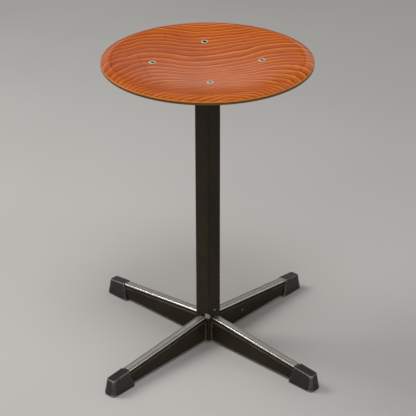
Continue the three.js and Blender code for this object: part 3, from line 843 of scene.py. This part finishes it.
def foot_section(level, inset):
    """One level of a foot, from 0 at the floor to 1 at its top, drawn in by inset."""
    spread = (1 - level) ** 1.3

    def between(top, bottom):
        return top + (bottom - top) * spread

    inner = between(FOOT_LOW.x + 10, FOOT_LOW.x) + inset
    outer = between(FOOT_HIGH.x - 5, FOOT_HIGH.x) - inset
    half = between(FOOT_HIGH.y - 4.6, FOOT_HIGH.y) - inset
    near = max(between(2.2, 3) - inset, 0.8)
    far = between(4.5, 9) - inset
    outline = rounded_outline(inner, -half, outer, half, [near, far, far, near], 7, 0.6)
    return [(x, y, level * (trim_top(x) + FOOT_COVER)) for x, y in outline]


def foot_socket_section(x):
    half = LEG_HIGH.y + FOOT_PLAY
    low, top = LEG_LOW.z - FOOT_PLAY, leg_top(x) + FOOT_PLAY
    return [(x, y, z) for y, z in rounded_outline(-half, low, half, top, [0.6, 0.6, 2, 2], 4)]


def add_feet():
    height = trim_top(FOOT_LOW.x)
    low_edge, top_edge = 2.6, 1.9
    turns = [math.radians(a) for a in (0, 18, 36, 54, 72, 90)]
    lower = [(low_edge * (1 - math.cos(a)) / height, low_edge * (1 - math.sin(a))) for a in turns]
    upper = [(1 - top_edge * (1 - math.sin(a)) / height, top_edge * (1 - math.cos(a))) for a in turns]
    upper.append((1, top_edge + 0.6))
    middle = [(0.14 + 0.08 * i, 0) for i in range(10)]
    shoe = loft([foot_section(level, inset) for level, inset in lower + middle + upper], fan=True)
    socket = loft([foot_socket_section(x) for x in (FOOT_LOW.x - 10, LEG_HIGH.x + GAP)], fan=True)
    for n, turn in four_legs():
        foot = make_object(f"foot_{n}_shoe", shoe, turn)
        refine(foot.data, 3.0)
        combine(foot, make_object("tool", socket, turn))
        make_piece(foot, LOOKS["rubber"], "base", "foot_rubber", f"foot_{n}")


def add_welds():
    """A painted fillet weld down each side of each leg, where it meets the column."""
    low, high = LEG_LOW.z + 0.5, leg_top(LEG_LOW.x) - 0.5
    steps, points = 44, 10
    x, y = COLUMN_HIGH.x + 0.5, LEG_HIGH.y + 0.3
    angles = [2 * math.pi * j / points for j in range(points)]
    for n, turn in four_legs():
        for side, letter in ((-1, "a"), (1, "b")):
            sections = []
            for i in range(steps + 1):
                z = low + (high - low) * i / steps
                end = min(i, steps - i) / 2.5
                r = WELD_SIZE * min(1, 0.25 + 0.75 * end) + 0.22 * math.sin(z * 2 * math.pi / WELD_RIPPLE)
                r += 0.5 * noise.noise(Vector((z * 0.35, (n - 1) * 9.1, side * 4.7)))
                sections.append([(x + r * math.cos(a), side * y + r * math.sin(a), z) for a in angles])
            weld = make_object(f"weld_{n}_{letter}", loft(sections), turn)
            make_piece(weld, LOOKS["welds"], "base", "frame_paint")


def thread_solid(low, high, grow=0.0):
    """A right-hand trapezoid thread about Z, cut off flat at its ends, in step with the CAD model's."""
    per_turn = 36
    crest = THREAD_CREST / 2 + grow / LEAD
    foot = crest + THREAD_FLANK
    major, minor = THREAD_MAJOR + grow, THREAD_MINOR + grow
    section = [(minor, -foot), (major, -crest), (major, crest), (minor, foot)]
    first = math.floor(low / LEAD) - 1.5
    turns = math.ceil((high - low) / LEAD) + 4
    steps = turns * per_turn
    verts = []
    for step in range(steps + 1):
        turn = first + step / per_turn
        angle = 2 * math.pi * turn
        verts += [
            (r * math.cos(angle), r * math.sin(angle), LEAD * (turn + share)) for r, share in section
        ]

    def at(step, row):
        return step * 4 + row if row < 4 else (step + per_turn) * 4

    faces = []
    for step in range(steps):
        rows = 3 if step + 1 + per_turn > steps else 4
        for row in range(rows):
            faces.append((at(step, row), at(step + 1, row), at(step + 1, row + 1), at(step, row + 1)))
    end = len(verts)
    verts += [(0, 0, verts[0][2] - LEAD / 2), (0, 0, verts[end - 1][2] + LEAD / 2)]
    low_edge = [at(step, 0) for step in range(per_turn + 1)] + [at(0, 3), at(0, 2), at(0, 1)]
    high_edge = [at(steps - per_turn + step, 3) for step in range(per_turn + 1)]
    high_edge += [at(steps, 2), at(steps, 1), at(steps, 0)]
    for a, b in zip(low_edge, low_edge[1:] + low_edge[:1]):
        faces.append((b, a, end))
    for a, b in zip(high_edge, high_edge[1:] + high_edge[:1]):
        faces.append((a, b, end + 1))
    thread = make_object("thread", (verts, faces))
    return combine(thread, rod(major + 3, low, high, 72), "INTERSECT")


def add_nut():
    half = COLUMN_HIGH.x - WALL - GAP
    flange_low = COLUMN_HIGH.z + GAP
    nut = make_object("nut_block", prism(square(half, 1.2), NUT_LOW.z, flange_low + 1, 0.5))
    flange = make_object("tool", prism(square(NUT_HIGH.x, 3), flange_low, NUT_HIGH.z, 0.7))
    combine(nut, flange, "UNION")
    combine(nut, thread_solid(NUT_LOW.z - 3, NUT_HIGH.z + 3, GAP))
    combine(nut, rod_along_x(2.6, -20, 20, NUT_SCREW_Z))
    make_piece(nut, LOOKS["steel"], "base", "bare_steel", "spindle_nut")


def add_face_screw(node, side, z, spin, radius, head_radius, head, length):
    """A slotted pan-head screw in the column's face that side turns +X to. spin turns the slot."""
    base, edge = 0.05, 0.2
    top = base + head
    profile = [(0, -length), (radius, -length), (radius, base)]
    profile += [(head_radius - edge, base), (head_radius, base + edge)]
    for a in (math.radians(15 * i) for i in range(1, 6)):
        profile.append((head_radius * math.cos(a), base + edge + (head - edge) * math.sin(a)))
    profile.append((0, top))
    screw = make_object(f"{node}_pan", revolve(profile, 40))
    half, width, depth = head_radius * 1.2, head_radius * 0.26, head * 0.55
    blade = rounded_outline(-half, -width / 2, half, width / 2, [0.05] * 4, 2, 0.02)
    combine(screw, make_object("tool", prism(blade, top - depth, top + 1)))
    matrix = turned_about_z(side) @ Matrix.Translation((COLUMN_HIGH.x, 0, z))
    matrix = matrix @ Matrix.Rotation(QUARTER, 4, "Y") @ turned_about_z(spin)
    screw.data.transform(Matrix.Scale(MM, 4) @ matrix @ Matrix.Scale(1 / MM, 4))
    make_piece(screw, LOOKS["plated"], "base", "screw_plating", node)


def add_screws():
    add_face_screw("nut_screw_1", 0, NUT_SCREW_Z, 0.5, 2.4, 4.2, 2.4, 3.8)
    add_face_screw("nut_screw_2", math.pi, NUT_SCREW_Z, 1.5, 2.4, 4.2, 2.4, 3.8)
    add_face_screw("plug_screw", 0, PLUG_SCREW_Z, 1.1, 1.0, 1.7, 0.9, 4)


def add_washer():
    low, high, outer = WASHER_LOW.z, WASHER_HIGH.z, WASHER_HIGH.x
    ease, bore = 0.35, 11.0
    profile = [(bore, low), (outer - ease, low), *arc(outer - ease, low + ease, ease, -90, 0, 4)[1:]]
    profile += [*arc(outer - ease, high - ease, ease, 0, 90, 4), (bore, high), (bore, low)]
    washer = make_object("thrust_ring", revolve(profile, 72))
    make_piece(washer, LOOKS["nylon"], "base", "nylon", "thrust_washer")


# ---- Guide and spindle ----


def add_guide():
    block = make_object("guide_shoe", prism(square(GUIDE_HIGH.x, 1.6), GUIDE_LOW.z, GUIDE_HIGH.z, 1.0))
    combine(block, rod(6.9, GUIDE_LOW.z - 5, GUIDE_HIGH.z + 5))
    make_piece(block, LOOKS["nylon"], "guide", "nylon", "guide_block")


def add_spindle():
    journal, stub = 6.5, 7.5
    thread_low = GUIDE_HIGH.z + 0.4
    thread_high = BOSS_LOW.z - GAP
    spindle = thread_solid(thread_low, thread_high)
    spindle.name = "spindle_screw"
    combine(spindle, rod(journal, SPINDLE_LOW.z, thread_low + 2), "UNION")
    combine(spindle, rod(stub, thread_high - 2, SPINDLE_HIGH.z), "UNION")
    combine(spindle, rod(4.1, SPINDLE_LOW.z - 1, SPINDLE_LOW.z + 16))
    make_piece(spindle, LOOKS["turned_steel"], "seat", "bare_steel", "spindle")


# ---- Seat ----


def add_boss():
    low, high = BOSS_LOW.z, BOSS_HIGH.z
    bore, neck, fillet, end = 7.8, 15.0, 4.0, 0.8
    edge = 0.7
    rim, under = BOSS_HIGH.x - edge, high - 4.0
    profile = [(bore, low), (neck - end, low), *arc(neck - end, low + end, end, -90, 0, 4)[1:]]
    profile += arc(neck + fillet, under - fillet, fillet, 180, 90, 8)
    profile += [(rim, under), *arc(rim, under + edge, edge, -90, 0, 4)[1:]]
    profile += [*arc(rim, high - edge, edge, 0, 90, 4), (bore, high), (bore, low)]
    boss = make_object("seat_boss_hub", revolve(profile, 96))
    hole = rod_along_x(2.7, -20, 20, PIN_Z)
    hole.data.transform(turned_about_z(SEAT_TURN))
    combine(boss, hole)
    make_piece(boss, LOOKS["bracket"], "seat", "seat_bracket_paint", "seat_boss")


def add_spider():
    """The four-arm bracket, cut from plate and pressed to follow the underside of the seat."""
    reach, half, thickness, fillet, ease = 100.0, 15.0, 3.0, 14.0, 0.6
    arm = [(half + fillet, -half), (reach - half, -half)]
    arm += arc(reach - half, 0, half, -90, 90, 12)[1:]
    arm += [(half + fillet, half)]
    arm += arc(half + fillet, half + fillet, fillet, 270, 180, 6)[1:-1]
    outline = [(turn @ Vector((x, y, 0))).xy for _, turn in four_legs() for x, y in arm]
    top = SPIDER_HIGH.z - (seat_top_at(reach) - seat_top_at(0))
    low, eased = top - thickness, 1 - ease / reach
    levels = ((low, eased), (low + ease, 1), (top - ease, 1), (top, eased))
    sections = [[(x * scale, y * scale, z) for x, y in outline] for z, scale in levels]
    plate = make_object("seat_spider_plate", loft(sections))
    # The flat plate is cut into strips both ways, so that it can follow the seat's curve.
    with edited(plate.data) as bm:
        for axis in (Vector((1, 0, 0)), Vector((0, 1, 0))):
            for i in range(-11, 12):
                everything = bm.verts[:] + bm.edges[:] + bm.faces[:]
                place = axis * (i * 8 + 0.5) * MM
                bmesh.ops.bisect_plane(bm, geom=everything, plane_co=place, plane_no=axis)
        for vertex in bm.verts:
            r = vertex.co.xy.length / MM
            vertex.co.z += (seat_top_at(r) - seat_top_at(0)) * MM
    for k in range(4):
        combine(plate, rod(RIVET_HOLE, -20, 20, 32, rivet_matrix(k, turned=False)))
    plate.data.transform(turned_about_z(SEAT_TURN))
    make_piece(plate, LOOKS["bracket"], "seat", "seat_bracket_paint", "seat_spider")


def rivet_matrix(k, turned=True):
    """Puts a body built about Z, with the seat's top at height 0, square to the seat at rivet k."""
    turn = turned_about_z(k * QUARTER + (SEAT_TURN if turned else 0))
    place = Matrix.Translation((RIVET_RADIUS, 0, seat_top_at(RIVET_RADIUS)))
    return turn @ place @ Matrix.Rotation(-math.atan(DISH_CURVE * RIVET_RADIUS), 4, "Y")


def add_rivets():
    """Hollow rivets with rolled heads and tails, each opened a little differently, and painted dark
    inside as painted shade in their bores.
    """
    shank, head, roll = 4.0, 5.8, 0.7
    tail = -SEAT_THICKNESS - 3.7
    for k, bore in enumerate((3.2, 3.7, 3.3, 2.9)):
        profile = [(bore, tail), (bore, -2.5), (bore, -1.2), *arc(bore + roll, 0, roll, 180, 90, 6)]
        profile += arc(head - roll, 0, roll, 90, 0, 6)
        profile += [(head - 0.25, -0.02), (shank, -0.02), (shank, tail)]
        profile += arc(head - roll, tail - roll, roll, 90, -90, 6)
        profile += arc(bore + roll, tail - roll, roll, -90, -180, 4)
        profile += [(bore, tail)]
        rivet = make_object(f"rivet_{k + 1}_tube", revolve(profile, 56), rivet_matrix(k))
        to_rivet = rivet_matrix(k).inverted()
        # The inside of the bore is marked to be painted dark, as painted shade.
        bore_shade = rivet.data.attributes.new("bore_shade", "FLOAT", "POINT")
        for vertex in rivet.data.vertices:
            place = to_rivet @ (vertex.co / MM)
            inside = place.xy.length < bore + 0.5 and tail < place.z < 0.3
            bore_shade.data[vertex.index].value = 1.0 if inside else 0.0
        make_piece(rivet, LOOKS["rivet"], "seat", "rivet_metal", f"rivet_{k + 1}")


def add_seat():
    radius, round_top, round_bottom = SEAT_RADIUS, 1.2, 2.0
    dished = [DISH_RADIUS * math.sin(QUARTER * i / 26) for i in range(27)]
    curled = [DISH_RADIUS + (radius - round_top - DISH_RADIUS) * i / 12 for i in range(1, 12)]
    profile = [(r, seat_top_at(r) - SEAT_THICKNESS) for r in dished]
    first_edge = len(profile)
    profile += arc(radius - round_bottom, EDGE_LOW + round_bottom, round_bottom, -90, 0, 8)
    profile += arc(radius - round_top, EDGE_HIGH + 0.2 - round_top, round_top, 0, 70, 7)
    last_edge = len(profile) - 1
    profile += [(r, seat_top_at(r)) for r in reversed(dished + curled)]
    seat = make_object("seat_plywood", revolve(profile, 192))
    for material in (LOOKS["veneer"], LOOKS["edge"], LOOKS["underside"]):
        seat.data.materials.append(material)
    edge_low, edge_high = profile[first_edge][1] * MM, profile[last_edge][1] * MM
    for face in seat.data.polygons:
        out = face.center.xy.length
        if out > (radius - 2.2) * MM and edge_low - 0.2 * MM < face.center.z < edge_high:
            face.material_index = 1
        elif face.normal.z < 0:
            face.material_index = 2
    for k in range(4):
        combine(seat, rod(RIVET_HOLE, -20, 20, 40, rivet_matrix(k)))
    make_piece(seat, LOOKS["veneer"], "seat", "seat_wood", "seat_shell")


# ---- Stage ----


def add_floor():
    half = 14.0  # of its side, in metres
    mesh = bpy.data.meshes.new("floor")
    corners = [(-half, -half, 0), (half, -half, 0), (half, half, 0), (-half, half, 0)]
    mesh.from_pydata(corners, [], [(0, 1, 2, 3)])
    mesh.materials.append(pale_floor())
    in_scene("floor", mesh)


def add_softbox(name, azimuth, elevation, distance, size, power, colour=(1, 1, 1), shape="RECTANGLE"):
    """An area light that faces the seat. Azimuth 0 is behind the camera, and it grows to the right."""
    data = bpy.data.lights.new(name, "AREA")
    data.shape = shape
    data.size, data.size_y = size
    data.energy = power
    data.color = colour
    light = in_scene(name, data)
    light.visible_camera = False
    angle = CAMERA_AZIMUTH + math.radians(azimuth)
    rise = math.radians(elevation)
    away = Vector((math.sin(angle) * math.cos(rise), -math.cos(angle) * math.cos(rise), math.sin(rise)))
    aim = Vector((0, 0, 0.4))
    light.location = aim + away * distance
    light.rotation_euler = away.to_track_quat("Z", "Y").to_euler()


def add_world():
    """A soft studio: dim near the floor, brighter overhead, with low glows to both sides of the stool."""
    world = bpy.data.worlds.new("studio")
    bpy.context.scene.world = world
    world.use_nodes = True
    studio = Nodes(world.node_tree)
    place = studio.node("ShaderNodeTexCoord", {}).outputs["Generated"]

    def glow(value, *levels):
        return studio.ramp(value, *((at, (level, level * 0.99, level * 0.97)) for at, level in levels))

    up = studio.vector_math("DOT_PRODUCT", place, (0, 0, 1), 1)
    right = 2.5 * Vector((math.cos(CAMERA_AZIMUTH), math.sin(CAMERA_AZIMUTH), 0))
    sideways = studio.vector_math("DOT_PRODUCT", place, right, 1)
    below = ((0.0, 0.03), (0.2, 0.06), (0.3, 0.12), (0.54, 0.2))
    around = glow(up, *below, (0.62, 0.5), (0.72, 0.5), (0.82, 0.2), (1.0, 0.15))
    rows = glow(up, (0.08, 0), (0.2, 0.55), (0.36, 0.5), (0.46, 0))
    columns = glow(studio.vector_math("MULTIPLY", sideways, sideways), (0.02, 0), (0.08, 1))
    sides = studio.vector_math("MULTIPLY", rows, columns)
    background = world.node_tree.nodes["Background"]
    studio.feed(background.inputs["Color"], studio.vector_math("ADD", around, sides))
    studio.feed(background.inputs["Strength"], 1.0)


def add_stage():
    add_floor()
    add_world()
    add_softbox("key_light", -105, 46, 2.3, (0.8, 1.4), 28, (1, 0.98, 0.95))
    add_softbox("top_light", 10, 72, 2.3, (0.9, 0.9), 16)
    add_softbox("front_light", 5, 8, 2.8, (1.0, 1.2), 8)
    # Three small lights beyond the stool that show only as a haze in the dish's varnish.
    add_softbox("haze_light", 180, 25.1, 1.55, (0.28, 0.31), 0.05, shape="ELLIPSE")
    add_softbox("haze_middle", 180, 22.9, 1.52, (0.2, 0.185), 0.025, shape="ELLIPSE")
    add_softbox("haze_edge", 180, 20.1, 1.49, (0.17, 0.034), 0.009, shape="ELLIPSE")
    bpy.context.scene.view_settings.view_transform = "Standard"


# ---- Assembly ----

SEAT_FLECK = Matrix.Rotation(CAMERA_AZIMUTH, 3, "Z") @ Vector((-0.121, -0.068, 0.519))
HUB_CHIP = ((0.0115, -0.0152, 0.0540), 0.0043)
ARM_CHIP = ((0.0082, 0.082, 0.022), 0.0011)
WELD_RUST = [((0.018, -0.010, 0.043), 0.0012), ((0.010, -0.018, 0.043), 0.0012)]

LOOKS = {
    "column": black_enamel("column_enamel", chips=[HUB_CHIP]),
    "legs": black_enamel("leg_enamel", chips=[ARM_CHIP]),
    "welds": black_enamel("weld_enamel", rust=WELD_RUST),
    "bracket": black_enamel("bracket_enamel"),
    "trim": bright_trim(),
    "rubber": moulded_rubber(),
    "plastic": dark_plastic(),
    "nylon": nylon(),
    "steel": metal("bare_steel", (0.34, 0.33, 0.31), (0.52, 0.50, 0.48), 0.32),
    "turned_steel": metal("turned_steel", (0.30, 0.29, 0.27), (0.50, 0.48, 0.46), 0.28, (120, 120, 900)),
    "plated": metal("plated_steel", (0.48, 0.47, 0.43), (0.64, 0.63, 0.60), 0.3),
    "rivet": metal("rivet_metal", (0.50, 0.55, 0.47), (0.74, 0.80, 0.70), 0.35, metallic=0.5),
    "veneer": seat_veneer(),
    "edge": ply_edge(),
    "underside": underside_veneer(),
}


def dress_kept_nodes():
    """The CAD nodes that keep their shape get finished materials."""
    kept = {"column_plug": "plastic", "end_washer": "steel", "end_screw": "plated", "boss_pin": "steel"}
    for node, look in kept.items():
        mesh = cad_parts[node].data
        mesh.materials.clear()
        mesh.materials.append(LOOKS[look])


add_camera()
add_stage()
for add in (add_column, add_legs, add_rails, add_trims, add_feet, add_welds, add_nut, add_screws):
    add()
for add in (add_washer, add_guide, add_spindle, add_boss, add_spider, add_rivets, add_seat):
    add()
dress_kept_nodes()
